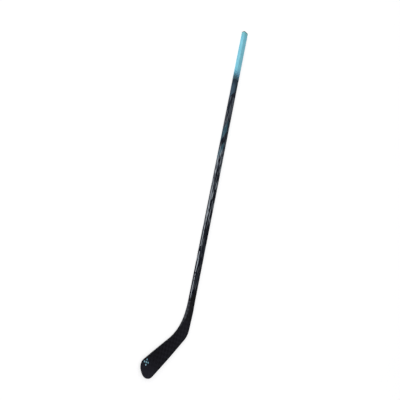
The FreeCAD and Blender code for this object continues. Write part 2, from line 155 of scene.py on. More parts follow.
def make_piece(mesh, name, slot, *stands_for):
    """Turn a bmesh into an object that rides on the stick and stands for CAD nodes."""
    bmesh.ops.recalc_face_normals(mesh, faces=mesh.faces)
    for face in mesh.faces:
        face.smooth = True
    for edge in mesh.edges:
        edge.smooth = edge.is_manifold and edge.calc_face_angle() < SHARP_ANGLE
    data = bpy.data.meshes.new(name)
    mesh.to_mesh(data)
    mesh.free()
    piece = bpy.data.objects.new(name, data)
    bpy.context.collection.objects.link(piece)
    normals = piece.modifiers.new("flat_flats", "WEIGHTED_NORMAL")
    normals.keep_sharp = True
    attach(piece, "root")
    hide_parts(*stands_for)
    print(f"{name}: {len(data.polygons)} faces for {', '.join(stands_for)}")
    return piece


# %% [markdown]
# ## Writing finishes as sums
# A finish is a tree of nodes, and most of it is arithmetic: how far along the stick, how far round it,
# how near to a line. Wiring that by hand hides the idea. A wire here is a socket that knows how to be
# added, multiplied and compared, so a mask reads like the formula that it is. Every other node comes from
# one method, `add`.

# %% Wires
def srgb(red, green, blue):
    """A colour as a paint chart gives it, made linear for the shader."""
    shares = [channel / 255 for channel in (red, green, blue)]
    linear = [share / 12.92 if share <= 0.04045 else ((share + 0.055) / 1.055) ** 2.4 for share in shares]
    return (*linear, 1.0)


class Wire:
    """A socket that takes part in sums: each sum adds one Math node."""

    def __init__(self, finish, socket):
        self.finish = finish
        self.socket = socket

    def sum(self, operation, *others):
        return self.finish.math(operation, self, *others)

    def __add__(self, other):
        return self.sum("ADD", other)

    def __sub__(self, other):
        return self.sum("SUBTRACT", other)

    def __rsub__(self, other):
        return self.finish.math("SUBTRACT", other, self)

    def __mul__(self, other):
        return self.sum("MULTIPLY", other)

    def __truediv__(self, other):
        return self.sum("DIVIDE", other)

    def __gt__(self, other):
        return self.sum("GREATER_THAN", other)

    def __abs__(self):
        return self.sum("ABSOLUTE")

    __radd__ = __add__
    __rmul__ = __mul__

    def least(self, other):
        return self.sum("MINIMUM", other)

    def most(self, other):
        return self.sum("MAXIMUM", other)

    def fraction(self):
        return self.sum("FRACT")

    def floor(self):
        return self.sum("FLOOR")

    def wave(self):
        return self.sum("SINE")

    def ramp(self, start, end):
        """0 before start, 1 after end, with a smooth step between."""
        return self.finish.add(
            "MapRange", {"interpolation_type": "SMOOTHSTEP"},
            {"Value": self, "From Min": start, "From Max": end},
        )

    def between(self, start, end, soft):
        """1 from start to end, with soft edges outside."""
        return self.ramp(start - soft, start) * (1 - self.ramp(end, end + soft))


# %% Finishes
class Finish:
    """One procedural material, or the sky."""

    def __init__(self, name, home=bpy.data.materials):
        self.block = home.new(name)
        self.block.use_nodes = True
        self.tree = self.block.node_tree
        self.tree.nodes.clear()

    def add(self, kind, settings=None, sockets=None, output=0):
        """Add a node, give it its settings, then its sockets' values or wires, and return an output."""
        node = self.tree.nodes.new("ShaderNode" + kind)
        for name, value in (settings or {}).items():
            setattr(node, name, value)
        for name, value in (sockets or {}).items():
            if isinstance(value, Wire):
                self.tree.links.new(value.socket, node.inputs[name])
            else:
                node.inputs[name].default_value = value
        return Wire(self, node.outputs[output]) if node.outputs else None

    def math(self, operation, *values):
        return self.add("Math", {"operation": operation}, dict(enumerate(values)))

    def mix(self, share, first, second):
        """Colour that goes from the first to the second as the share goes from 0 to 1."""
        return self.add("Mix", {"data_type": "RGBA"}, {0: share, 6: first, 7: second}, 2)

    def vector(self, x, y, z=0.0):
        return self.add("CombineXYZ", sockets={0: x, 1: y, 2: z})

    def split(self, vector):
        parts = self.add("SeparateXYZ", sockets={0: vector})
        return [Wire(self, socket) for socket in parts.socket.node.outputs]

    def place(self):
        """Object coordinates in mm."""
        point = self.add("TexCoord", output=3)
        return [part / MM for part in self.split(point)]

    def wrap(self):
        """Distance along the stick in mm and share of the way round it, from the piece's own map."""
        along, around, _ = self.split(self.add("UVMap", {"uv_map": "wrap"}))
        return along / MM, around

    def noise(self, vector, scale, detail, roughness=0.5):
        return self.add(
            "TexNoise", sockets={"Vector": vector, "Scale": scale, "Detail": detail, "Roughness": roughness}
        )

    def seen(self):
        """1 for what the eye or a mirror sees, 0 for light that only bounces."""
        path = self.add("LightPath")
        rays = {socket.name: Wire(self, socket) for socket in path.socket.node.outputs}
        return rays["Is Camera Ray"].most(rays["Is Glossy Ray"]).most(rays["Is Transmission Ray"])

    def bump(self, height, distance, strength):
        return self.add("Bump", sockets={"Height": height, "Distance": distance, "Strength": strength})

    def surface(self, **sockets):
        """Close the tree with a Principled shader. Names are its sockets with _ for a space."""
        named = {name.replace("_", " "): value for name, value in sockets.items()}
        named = {name.replace("Ior", "IOR"): value for name, value in named.items()}
        shader = self.add("BsdfPrincipled", sockets=named)
        self.add("OutputMaterial", sockets={"Surface": shader})
        return self.block


# %% [markdown]
# ## Shaft
# The shaft is a hollow carbon tube, 30 by 20 mm with 6 mm corners. Over the grip's length it is 0.4 mm
# slimmer all round, so that the sleeve nearly comes flush. A curve with a bevel could draw the tube, but
# seat and bore would need cuts. A section is the same rounded rectangle moved in or out, so one function
# of an inset gives tube, seat, bore and sleeve alike. Extra sections along the bare run keep the long
# faces from becoming needles.

# %% Model the shaft
SHAFT_WIDTH, SHAFT_THICKNESS, SHAFT_CORNER = 30.0, 20.0, 6.0
SHAFT_WALL, GRIP_SEAT = 1.8, 0.4
BUTT_X, GRIP_END_X, JOINT_X = -822.0, -547.0, 547.0
SEAT_STEPS, BARE_STEPS = 3, 12
HALF_WIDTH = SHAFT_WIDTH / 2
MID_HEIGHT = SHAFT_THICKNESS / 2


def across_shaft(x, inset):
    """The shaft's section, moved inwards."""
    side = HALF_WIDTH - inset
    return x, -side, side, inset, SHAFT_THICKNESS - inset, SHAFT_CORNER - inset


def shaft_run(start, end, inset, count):
    return [across_shaft(start + (end - start) * step / count, inset) for step in range(count + 1)]


shaft = make_piece(
    loft(
        shaft_run(BUTT_X, GRIP_END_X, GRIP_SEAT, SEAT_STEPS)
        + shaft_run(GRIP_END_X, JOINT_X, 0.0, BARE_STEPS)
        + shaft_run(JOINT_X, BUTT_X, SHAFT_WALL, BARE_STEPS),
        closed=True,
    ),
    "shaft", "shaft_finish", "shaft_tube",
)

# %% [markdown]
# ## Shaft print
# The lacquer is a deep navy black. On it lies a print in greys and teal that gets busier and quieter
# along the shaft: a slate block below the grip with a slanted end, two teal wedges, charcoal flakes all
# the way, a streaky silver-grey band on the narrow sides, thin pale slivers, and a broken pale line that
# ends in a point above the hosel. The silver-grey band is part print and part painted reflection of the
# light that runs along the narrow sides. The print is centred on two opposite corners of the tube, so
# `off_ridge` measures how far round from the nearest of them a place lies: below zero on the narrow side,
# above zero on the wide one. The flakes are the cells of a slanted Voronoi pattern, each with one random
# tone. The slivers lie in slanted lanes, where noise along the lane lets them swell and taper out.
# Painting all this by hand would need an image, and sums do not.

# %% Places of the print
SHAFT_GIRTH = 2 * (SHAFT_WIDTH + SHAFT_THICKNESS) - (8 - 2 * math.pi) * SHAFT_CORNER
RIDGE_SHARE = (SHAFT_WIDTH + SHAFT_THICKNESS - (4 - 0.75 * math.pi) * SHAFT_CORNER) / SHAFT_GIRTH
BLOCK_END, PRINT_START, PRINT_END, TIP_END = -462, -445, 525, 549
WEDGES = ((-300, -240), (-186, -146))
BAND_RUN, BUSY_RUN, LONG_RUN = (-150, 180), (-160, 190), (150, 230)
BAND_EDGES, LINE_OFFSET, LINE_HALF = (-9.5, -3.5), 6, 1.9
PRINT_SOFT, RUN_SOFT = 8, 60


def ridge_place(finish):
    """Distance along the shaft in mm, share of the way round it, and mm from the nearest printed corner."""
    along, around = finish.wrap()
    off_ridge = (((around - RIDGE_SHARE) * 2 + 0.5).fraction() - 0.5) * (SHAFT_GIRTH / 2)
    return along, around, off_ridge


def printed(along):
    return along.between(PRINT_START, PRINT_END, PRINT_SOFT)


def long_run(along):
    """The dark run above the hosel, where the print is quiet."""
    return along.ramp(*LONG_RUN)


print("shaft print from", PRINT_START, "to", PRINT_END, "mm, round a girth of", round(SHAFT_GIRTH, 1), "mm")


# %% Flakes, band and wedges
def flaked_lacquer(finish, along, off_ridge):
    """Navy black with charcoal flakes, and the random tone of the flake at each place."""
    cells = finish.add(
        "TexVoronoi", {"voronoi_dimensions": "2D"},
        {"Vector": finish.vector(along / 40 + off_ridge / 12, off_ridge / 6.5 - along / 120), "Scale": 1.0},
        1,
    )
    tone, pick, _ = finish.split(cells)
    flakes = (pick > 0.55) * printed(along) * (0.8 - along.ramp(-190, 60) * 0.5 - long_run(along) * 0.15)
    charcoal = finish.mix(tone, srgb(30, 35, 45), srgb(92, 100, 110))
    navy = finish.mix(along.ramp(-480, 160), srgb(22, 27, 38), srgb(5, 8, 20))
    return finish.mix(flakes, navy, charcoal), tone


def print_and_reflection_band(finish, along, off_ridge):
    """Mask of the streaky silver-grey band on the narrow sides: part print, part painted reflection."""
    band_streaks = finish.noise(finish.vector(along / 45, off_ridge / 2.8), 1.0, 1.0).ramp(0.42, 0.54)
    band = off_ridge.between(*BAND_EDGES, 1.0) * along.between(*BAND_RUN, RUN_SOFT)
    return band * (0.1 + band_streaks * 0.85)


def slanted_wedges(along, off_ridge, tone):
    """Mask of the two wedges, mottled by the flakes."""
    slanted = along + off_ridge * 2.2
    upper, lower = (slanted.between(*wedge, 4) for wedge in WEDGES)
    return upper.most(lower) * off_ridge.between(-16, 9, 3) * (0.25 + tone * 0.5)


# %% Slivers, ridge line and block
def slivers(finish, along, off_ridge):
    """Mask of slivers in slanted lanes, and how strongly they show."""
    lane = off_ridge / 10 + along / 200
    busy = along.between(*BUSY_RUN, RUN_SOFT)
    swell = finish.noise(finish.vector(along / 42, lane.floor() * 7.7), 1.0, 0.6)
    swell = swell.ramp(0.46 - busy * 0.07, 0.72)
    mask = (swell * 0.26 - abs(lane.fraction() - 0.5)).ramp(0.0, 0.025) * printed(along)
    strength = 0.3 + along.ramp(-200, -120) * 0.55
    return mask, strength * (1 - off_ridge.ramp(-4, 3) * long_run(along) * 0.75)


def ridge_line(finish, along, off_ridge):
    """Mask of the broken line that ends in a point."""
    half = LINE_HALF * (1 - along.ramp(515, TIP_END))
    gaps = finish.noise(finish.vector(along / 30, 0.0), 1.0, 2.0).ramp(0.44, 0.5)
    whole = along.ramp(455, 465)
    return abs(off_ridge + LINE_OFFSET).ramp(half, half * 0.7) * long_run(along) * gaps.most(whole)


def slate_block(finish, along, off_ridge):
    """Mask of the block below the grip, and its colour, darker at the rim."""
    mask = 1 - (along + off_ridge * 1.3).ramp(BLOCK_END, BLOCK_END + 2)
    inside = off_ridge.between(-15, 9, 4) * along.ramp(-535, -505)
    return mask, finish.mix(inside, srgb(36, 50, 63), srgb(60, 79, 94))


# %% Paint the shaft
def shaft_print():
    finish = Finish("shaft_print")
    along, around, off_ridge = ridge_place(finish)
    colour, tone = flaked_lacquer(finish, along, off_ridge)
    # Part print, part painted reflection: a streaky silver-grey band along the narrow sides.
    colour = finish.mix(print_and_reflection_band(finish, along, off_ridge), colour, srgb(154, 161, 168))
    colour = finish.mix(slanted_wedges(along, off_ridge, tone), colour, srgb(66, 106, 122))
    streaks, strength = slivers(finish, along, off_ridge)
    colour = finish.mix(streaks * strength, colour, srgb(150, 158, 166))
    colour = finish.mix(ridge_line(finish, along, off_ridge) * 0.9, colour, srgb(166, 173, 181))
    block, slate = slate_block(finish, along, off_ridge)
    colour = finish.mix(block, colour, slate)
    tip = (along + abs(off_ridge + LINE_OFFSET) * 2.2).ramp(TIP_END - 13, TIP_END)
    grain = finish.noise(finish.vector(along / 3, around * 40), 1.0, 4.0)
    return finish.surface(
        Base_Color=finish.mix(tip, colour, srgb(14, 14, 17)),
        Roughness=0.26 + grain * 0.1 + tip * 0.2,
        Specular_Ior_Level=0.04,
        Normal=finish.bump(grain + streaks * 0.4, 0.0001, 0.25),
    )


shaft.data.materials.append(shaft_print())
print("shaft painted with", len(shaft.data.materials[0].node_tree.nodes), "nodes")

# %% [markdown]
# ## Grip
# The sleeve is a thin, tacky rubber skin in light blue. It fades to dark through a halftone at its lower
# end, where dots grow until they touch. The dots could be pieces of their own, but they have no height
# that a hand would feel, so they belong to the finish. They sit on a lattice with a whole number of cells
# round the sleeve, so the pattern has no seam. The sleeve itself is a closed loft with its edge eased, so
# that light catches it.

# %% Model the grip
GRIP_PROUD, GRIP_EASE, GRIP_STEPS = 0.4, 0.35, 6
EASE_SHOULDER = 0.3 * GRIP_EASE

grip = make_piece(
    loft(
        shaft_run(BUTT_X, GRIP_END_X - GRIP_EASE, -GRIP_PROUD, GRIP_STEPS)
        + [across_shaft(GRIP_END_X - EASE_SHOULDER, EASE_SHOULDER - GRIP_PROUD)]
        + [across_shaft(GRIP_END_X, GRIP_EASE - GRIP_PROUD)]
        + shaft_run(GRIP_END_X, BUTT_X, GRIP_SEAT, GRIP_STEPS),
        closed=True,
    ),
    "grip", "grip_skin", "grip_sleeve",
)


# %% Paint the grip
GRIP_CELLS, CELL_LENGTH = 6, 15.5
NARROW_SIDE, WIDE_LAG = (0.55, 0.85), 9
DOTS_RUN, SHADE_RUN, INK_RUN, TOP_RUN = (-628, -536), (-620, -552), (-600, -548), (-790, -830)


def grip_tack():
    finish = Finish("grip_tack")
    along, around = finish.wrap()
    down, across = along / CELL_LENGTH, around * GRIP_CELLS
    dx = (down + across).fraction() - 0.5
    dy = (down - across).fraction() - 0.5
    from_dot = (dx * dx + dy * dy).sum("SQRT")
    wide_side = 1 - (around * 2).fraction().between(*NARROW_SIDE, 0.1)
    fade = (along - wide_side * WIDE_LAG).ramp(*DOTS_RUN)
    dots = (from_dot - fade * 0.8).ramp(0.05, -0.05)

    cloud = finish.noise(finish.vector(along / 30, around * 6), 1.0, 3.0)
    skin = finish.mix(cloud.ramp(0.3, 0.7), srgb(120, 194, 214), srgb(134, 204, 222))
    skin = finish.mix(along.ramp(*TOP_RUN), skin, srgb(122, 190, 194))
    # Painted side tone: in the dark fade the wide side gets a bluer, lighter copy of the colour, for how it
    # looks in less light.
    fade_and_painted_side_tone = finish.mix(wide_side, srgb(84, 138, 160), srgb(98, 142, 182))
    under = finish.mix(along.ramp(*SHADE_RUN), skin, fade_and_painted_side_tone)
    ink = finish.mix(along.ramp(*INK_RUN), srgb(84, 146, 166), srgb(50, 76, 86))
    colour = finish.mix(dots, under, ink)

    tack = finish.noise(finish.vector(along / 0.9, around * 95), 1.0, 2.0)
    return finish.surface(
        Base_Color=colour,
        Roughness=0.55 + tack * 0.2,
        Specular_Ior_Level=0.2,
        Normal=finish.bump(tack + dots * 0.4, 0.00012, 0.5),
    )


grip.data.materials.append(grip_tack())
print("grip halftone:", GRIP_CELLS, "cells round")

# %% [markdown]
# ## Butt plug
# A dark moulded plug closes the tube: a cap with a round edge over the ends of tube and sleeve, and a
# hollow insert in the bore. It could be turned from a profile, but its section is not round. So its wall
# is one loft again, from the middle of the outer face over the edge, down the insert and back up inside.
# A few sections on a quarter circle make the round edge.

# %% Model the plug
CAP_THICKNESS, CAP_EDGE = 5.0, 3.4
PLUG_GAP, PLUG_WALL, PLUG_REACH, EDGE_STEPS = 0.3, 2.0, 40.0, 7
CAP_X = BUTT_X - CAP_THICKNESS
INSERT = SHAFT_WALL + PLUG_GAP


def cap_edge(step):
    """One section on the cap's round edge, from the outer face to the side."""
    turn = math.pi / 2 * step / EDGE_STEPS
    return across_shaft(CAP_X + CAP_EDGE * (1 - math.cos(turn)), CAP_EDGE * (1 - math.sin(turn)) - GRIP_PROUD)


plug = make_piece(
    loft(
        [cap_edge(step) for step in range(EDGE_STEPS + 1)]
        + [across_shaft(BUTT_X, -GRIP_PROUD), across_shaft(BUTT_X, INSERT)]
        + [across_shaft(BUTT_X + PLUG_REACH, INSERT), across_shaft(BUTT_X + PLUG_REACH, INSERT + PLUG_WALL)]
        + [across_shaft(BUTT_X, INSERT + PLUG_WALL)],
        closed=False,
    ),
    "plug", "plug_plastic", "butt_plug",
)


# %% Paint the plug
def plug_moulding():
    finish = Finish("plug_moulding")
    x, y, z = finish.place()
    spark = finish.noise(finish.vector(x, y, z), 1.6, 4.0, 0.6)
    scuff = finish.noise(finish.vector(x / 4, y / 3, z / 3), 1.0, 2.0)
    return finish.surface(
        Base_Color=finish.mix(scuff.ramp(0.35, 0.75), srgb(22, 30, 31), srgb(38, 46, 46)),
        Roughness=0.55 + spark * 0.25,
        Specular_Ior_Level=0.3,
        Normal=finish.bump(spark, 0.0002, 0.5),
    )


plug.data.materials.append(plug_moulding())
print("plug reaches", PLUG_REACH, "mm into the bore")

# %% [markdown]
# ## Blade outline
# Seen from above, blade and hosel have one outline: straight edges whose corners are rounded by a heel, a
# wide rocker in the middle of the bottom edge, two toe arcs and a throat. It could be drawn as a curve,
# but then its roundings would be handles and not radii. The sides are lines, so each corner is where two
# of them meet. The outline is then walked: extrude a vertex to where an arc begins, spin it round the
# arc's centre, and go on to the next corner.

# %% Corners of the outline
HEEL_X, SPLIT_X = 687.9, 627.0
LIE = math.radians(139.1)
BLADE_LENGTH, TOE_HEIGHT, TOE_SETBACK, TOE_REACH_SHARE = 286.3, 80.6, 35.0, 0.55
ROCKER, TOP_TAPER, TOE_LEAN = 1.75, 8.1, 14.0
HEEL_ARC, ROCKER_ARC, LOWER_TOE_ARC, UPPER_TOE_ARC, THROAT_ARC = 77.0, 2150.0, 37.0, 33.0, 214.0
HEEL = Vector((HEEL_X, HALF_WIDTH, 0))
ALONG = Vector((-math.cos(LIE), -math.sin(LIE), 0))
UPWARD = Vector((-math.sin(LIE), math.cos(LIE), 0))


def blade_way(angle):
    turn = math.radians(angle)
    return ALONG * math.cos(turn) + UPWARD * math.sin(turn)


def blade_place(along, upward):
    return HEEL + ALONG * along + UPWARD * upward


SIDES = [
    (Vector((0, HALF_WIDTH, 0)), Vector((1, 0, 0))),
    (HEEL, blade_way(-ROCKER)),
    (blade_place(BLADE_LENGTH, 0), blade_way(ROCKER)),
    (blade_place(BLADE_LENGTH, TOE_REACH_SHARE * TOE_HEIGHT), blade_way(90 + TOE_LEAN)),
    (blade_place(BLADE_LENGTH - TOE_SETBACK, TOE_HEIGHT), -blade_way(TOP_TAPER)),
    (Vector((0, -HALF_WIDTH, 0)), Vector((-1, 0, 0))),
]
ARCS = (HEEL_ARC, ROCKER_ARC, LOWER_TOE_ARC, UPPER_TOE_ARC, THROAT_ARC)


def corner_of(first, second):
    return intersect_line_line(first[0], first[0] + first[1], second[0], second[0] + second[1])[0]


def arc_start(corner, arriving, leaving, radius):
    """Where the arc round a corner begins, and how far it turns."""
    turn = arriving.xy.angle_signed(leaving.xy) * -1
    return corner - arriving * radius * math.tan(abs(turn) / 2), turn


CORNERS = [corner_of(first, second) for first, second in zip(SIDES, SIDES[1:])]
print("corners in mm:", [tuple(round(side, 1) for side in corner.xy) for corner in CORNERS])

# %% Walk the outline
ARC_STEP = math.radians(3.5)


def grow_to(mesh, vert, target):
    """Extrude a vertex to a place and return the new one."""
    tip = bmesh.ops.extrude_vert_indiv(mesh, verts=[vert])["verts"][0]
    bmesh.ops.translate(mesh, verts=[tip], vec=target - tip.co)
    return tip


def trace_outline(mesh):
    """Closed outline of hosel and blade as one flat face, in metres."""
    first = here = mesh.verts.new(Vector((JOINT_X, HALF_WIDTH, 0)) * MM)
    for corner, radius, before, after in zip(CORNERS, ARCS, SIDES, SIDES[1:]):
        start, turn = arc_start(corner, before[1], after[1], radius)
        inward = before[1].cross(Vector((0, 0, -1))) * math.copysign(radius, turn)
        here = grow_to(mesh, here, start * MM)
        spun = bmesh.ops.spin(
            mesh, geom=[here], cent=(start + inward) * MM, axis=(0, 0, 1), angle=turn,
            steps=round(abs(turn) / ARC_STEP) + 2,
        )
        here = spun["geom_last"][0]
    last = grow_to(mesh, here, Vector((JOINT_X, -HALF_WIDTH, 0)) * MM)
    bmesh.ops.contextual_create(mesh, geom=[last, first])
    return bmesh.ops.contextual_create(mesh, geom=mesh.edges[:])["faces"][0]


# %% [markdown]
# ## Blade plate
# The blade's faces curve and taper along X only. A loft along X could follow them, but each of its
# sections would have to end on the outline. So the blade is shaped flat and bent last. A plate as thick
# as the toe gets the outline and a round rim. Two level cuts part it into a forehand skin, a backhand
# skin and what lies between. Then each part is sliced across X and every vertex is lifted to the face it
# belongs to. The two faces are measured on the CAD skins: a polynomial through their points is smooth,
# where the points alone would shade in facets.

# %% Measure the faces
FACE_DEGREE, FACING = 8, 0.8


def face_curve(node, side):
    """Height of a CAD skin's outer face over X, in metres."""
    data = nodes[node].data
    facing = [face for face in data.polygons if face.normal.z * side > FACING]
    points = numpy.array([data.vertices[index].co for face in facing for index in face.vertices])
    curve = numpy.polynomial.Polynomial.fit(points[:, 0], points[:, 2], FACE_DEGREE)
    miss = numpy.abs(curve(points[:, 0]) - points[:, 2]).max()
    print(f"{node}: {len(points)} points, curve misses by {1000 * miss:.3f} mm at most")
    return curve


forehand_face = face_curve("blade_forehand_skin", 1)
backhand_face = face_curve("blade_backhand_skin", -1)

# %% Flat plate, cuts and the bend
PLATE, SKIN, RIM_RADIUS, RIM_STEPS = 6.0, 1.0, 1.8, 5
RAIL_WIDTH, SLICE, LEVEL = 5.0, 6.0, 0.99


def everything(mesh):
    return mesh.verts[:] + mesh.edges[:] + mesh.faces[:]


def rounded_plate():
    """Flat plate with the outline, its rim rounded, halfway through the level zero."""
    mesh = bmesh.new()
    face = trace_outline(mesh)
    bmesh.ops.solidify(mesh, geom=[face], thickness=PLATE * MM)
    middle = sum(vert.co.z for vert in mesh.verts) / len(mesh.verts)
    bmesh.ops.translate(mesh, verts=mesh.verts, vec=(0, 0, -middle))
    rim = [edge for edge in mesh.edges if edge.verts[0].co.z * edge.verts[1].co.z > 0]
    bmesh.ops.bevel(
        mesh, geom=rim, offset=RIM_RADIUS * MM, offset_type="OFFSET", segments=RIM_STEPS,
        profile=0.5, affect="EDGES", clamp_overlap=False, material=-1,
    )
    return mesh


def cut_off(mesh, place, side):
    """Take away what lies on one side of a plane and close the cut."""
    cut = bmesh.ops.bisect_plane(
        mesh, geom=everything(mesh), plane_co=Vector(place) * MM, plane_no=side, clear_outer=True
    )
    rim = [item for item in cut["geom_cut"] if isinstance(item, bmesh.types.BMEdge)]
    return bmesh.ops.edgeloop_fill(mesh, edges=rim)["faces"]


def bend(mesh):
    """Slice a flat part across X and lift each vertex to its face."""
    for x in numpy.arange(SPLIT_X + SLICE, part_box("blade_edge_rail")[1].x / MM, SLICE):
        bmesh.ops.bisect_plane(mesh, geom=everything(mesh), plane_co=(x * MM, 0, 0), plane_no=(1, 0, 0))
    half = PLATE / 2 * MM
    for vert in mesh.verts:
        face = forehand_face(vert.co.x) - half if vert.co.z > 0 else backhand_face(vert.co.x) + half
        vert.co.z += face


# %% [markdown]
# ## Skins and rail
# On the real blade two thin skins lie over foam, and a carbon band closes the rim. Here each skin is the
# outer millimetre of the plate, and the rail is the band left between them, 5 mm wide. The rail could be
# a strip swept along the outline, but cut from the same plate it shares its round rim with the skins. Its
# two cut faces are inset, the middles are deleted, and the open loops are bridged to make its inner wall.
# The cut at the hosel comes after that, so that the rail stays an open bow.

# %% Model the blade
def skin_part(side):
    mesh = rounded_plate()
    cut_off(mesh, (0, 0, side * (PLATE / 2 - SKIN)), (0, 0, -side))
    cut_off(mesh, (SPLIT_X, 0, 0), (-1, 0, 0))
    bend(mesh)
    return mesh


def rail_part():
    mesh = rounded_plate()
    for side in (1, -1):
        cut_off(mesh, (0, 0, side * (PLATE / 2 - SKIN)), (0, 0, side))
    lids = [face for face in mesh.faces if abs(face.normal.z) > LEVEL]
    bmesh.ops.inset_individual(mesh, faces=lids, thickness=RAIL_WIDTH * MM, use_even_offset=True)
    inner = [edge for face in lids for edge in face.edges]
    bmesh.ops.delete(mesh, geom=lids, context="FACES_ONLY")
    bmesh.ops.bridge_loops(mesh, edges=inner)
    cut_off(mesh, (SPLIT_X, 0, 0), (-1, 0, 0))
    bend(mesh)
    return mesh


forehand = make_piece(skin_part(1), "forehand_skin", "blade_finish", "blade_forehand_skin")
backhand = make_piece(skin_part(-1), "backhand_skin", "blade_finish", "blade_backhand_skin")
rail = make_piece(rail_part(), "edge_rail", "blade_finish", "blade_edge_rail")

# %% [markdown]
# ## Hosel
# The hosel leads from the shaft's section to the blade's. Its back stays straight, its front follows the
# throat arc, it thins from 20 to 14.3 mm, and its corners tighten from 6 to 1.8 mm. It could be the end
# of the blade's plate, but that has one rim all round, and a loft can change its corners from section to
# section. The thickness follows a Hermite curve that leaves the tenon level and arrives with the blade's
# own slope, so no crease shows at the seam. The loft goes down the outside and back up inside, round the
# socket of the tenon.

# %% Model the hosel
TENON_ROOT, TENON_GAP, HOSEL_WALL, HOSEL_STEPS = 30.0, 0.3, 1.8, 16
ROOT_X = JOINT_X + TENON_ROOT
END_THICKNESS = (forehand_face(SPLIT_X * MM) - backhand_face(SPLIT_X * MM)) / MM
END_SLOPE = forehand_face.deriv()(SPLIT_X * MM) - backhand_face.deriv()(SPLIT_X * MM)
THROAT_TURN = arc_start(CORNERS[-1], SIDES[-2][1], SIDES[-1][1], THROAT_ARC)[1]
THROAT_X = CORNERS[-1].x - THROAT_ARC * math.tan(abs(THROAT_TURN) / 2)


def hosel_thickness(x):
    run = SPLIT_X - ROOT_X
    share = max(0.0, (x - ROOT_X) / run)
    fall = (SHAFT_THICKNESS - END_THICKNESS) * share ** 2 * (3 - 2 * share)
    return SHAFT_THICKNESS - fall + END_SLOPE * run * share ** 2 * (share - 1)


def throat_front(x):
    swing = max(0.0, x - THROAT_X)
    return math.sqrt(THROAT_ARC ** 2 - swing ** 2) - THROAT_ARC - HALF_WIDTH


def across_hosel(x, inset):
    """The hosel's section, moved inwards."""
    share = (x - JOINT_X) / (SPLIT_X - JOINT_X)
    radius = SHAFT_CORNER + (RIM_RADIUS - SHAFT_CORNER) * share
    front, back = throat_front(x) + inset, HALF_WIDTH - inset
    half = hosel_thickness(x) / 2 - inset
    return x, front, back, MID_HEIGHT - half, MID_HEIGHT + half, radius - inset / 3


hosel_stations = [JOINT_X + (SPLIT_X - JOINT_X) * step / HOSEL_STEPS for step in range(HOSEL_STEPS + 1)]
SOCKET = SHAFT_WALL + TENON_GAP
hosel = make_piece(
    loft(
        [across_hosel(x, 0.0) for x in hosel_stations]
        + [across_hosel(x, HOSEL_WALL) for x in reversed(hosel_stations) if x >= ROOT_X]
        + shaft_run(ROOT_X, JOINT_X, SOCKET, 2),
        closed=True,
    ),
    "hosel", "hosel_weave", "hosel_shell",
)
print("hosel thins to", round(END_THICKNESS, 2), "mm with slope", round(END_SLOPE, 3))


# %% [markdown]
# ## Carbon weave under matte lacquer
# Hosel and blade are wrapped in a cloth of wide flat tows that cross at 45 degrees and pass over and
# under each other. Under matte black lacquer the squares only differ by a shade and a gloss, most of all
# on the narrow sides of the hosel. A picture of cloth could be wrapped round them, but it would end in
# seams. So the pattern is written once, in object coordinates, and runs on from hosel to blade: `over`
# says which of the two tows lies on top, and fine lines follow that tow. Height is added to the place
# across, which carries the cloth round the corner. How strong the weave shows, and how far the black is
# lifted towards grey, is a pair of sums that each piece brings along. That lifting is painted highlight:
# on the hosel's narrow sides, on the rail next to the hosel, and as a painted sheen at the blade's toe,
# heel and bottom edge.

# %% Where the weave shows
RAIL_FADE = (610, 690)


def on_narrow_sides(finish):
    """Weave and painted highlight of a loft: strong on its two narrow sides."""
    along, around = finish.wrap()
    widening = along.ramp(JOINT_X, SPLIT_X) * 0.12
    narrow = (around * 2).fraction().between(widening + 0.56, widening + 0.84, 0.06)
    # Painted highlight: the second share lifts the narrow sides towards grey.
    return 0.05 + narrow * 0.3, narrow * 0.28


def next_to_hosel(finish):
    """Weave and painted highlight of the rail: strong at the hosel, fading towards the heel."""
    x, _, _ = finish.place()
    near = 1 - x.ramp(*RAIL_FADE)
    # Painted highlight: the second share lightens the rail next to the hosel.
    return 0.06 + near * 0.3, near * 0.26


def over_blade(finish):
    """Weave and painted sheen of the blade: a weak cloth, lighter at the toe, heel and bottom edge."""
    x, y, _ = finish.place()
    x, y = x - HEEL.x, y - HEEL.y
    toeward = x * ALONG.x + y * ALONG.y
    height = x * UPWARD.x + y * UPWARD.y
    # Painted sheen: lighter towards the toe, the heel and the bottom edge.
    painted_sheen = toeward.ramp(190, 285) * 0.28 + toeward.ramp(90, 0) * 0.1 + height.ramp(55, 5) * 0.07
    return 0.14 - toeward.ramp(120, 260) * 0.08, painted_sheen


# %% Paint hosel and blade
TOW, DIAGONAL, FIBRES = 12.5, 1.414, 90


def woven_black(name, dark, light, roughness, weave_and_highlight):
    """Matte black with a bias weave, lifted in places towards a lighter black as painted highlight."""
    finish = Finish(name)
    x, y, z = finish.place()
    shown, painted_highlight = weave_and_highlight(finish)
    across = y + z
    rising, falling = (x + across) / (TOW * DIAGONAL), (x - across) / (TOW * DIAGONAL)
    over = ((rising.floor() + falling.floor()) / 2).fraction() * 2
    fibre = ((rising * over + falling * (1 - over)) * FIBRES).wave() * 0.5 + 0.5
    crown = abs((rising.fraction() - 0.5) * (falling.fraction() - 0.5))
    mottle = finish.noise(finish.vector(x / 9, y / 9, z / 9), 1.0, 3.0)
    # The painted highlight is added to the weave's share of the lighter colour.
    shade = (over * shown + painted_highlight + mottle.ramp(0.3, 0.7) * 0.08).least(1.0)
    grain = finish.noise(finish.vector(x, y, z), 1.4, 3.0)
    return finish.surface(
        Base_Color=finish.mix(shade, dark, light),
        Roughness=roughness - over * shown * 0.16 + grain * 0.08,
        Specular_Ior_Level=0.04,
        Normal=finish.bump(fibre * shown * 0.25 + grain * 0.3 - crown * shown, 0.00012, 0.5),
    )


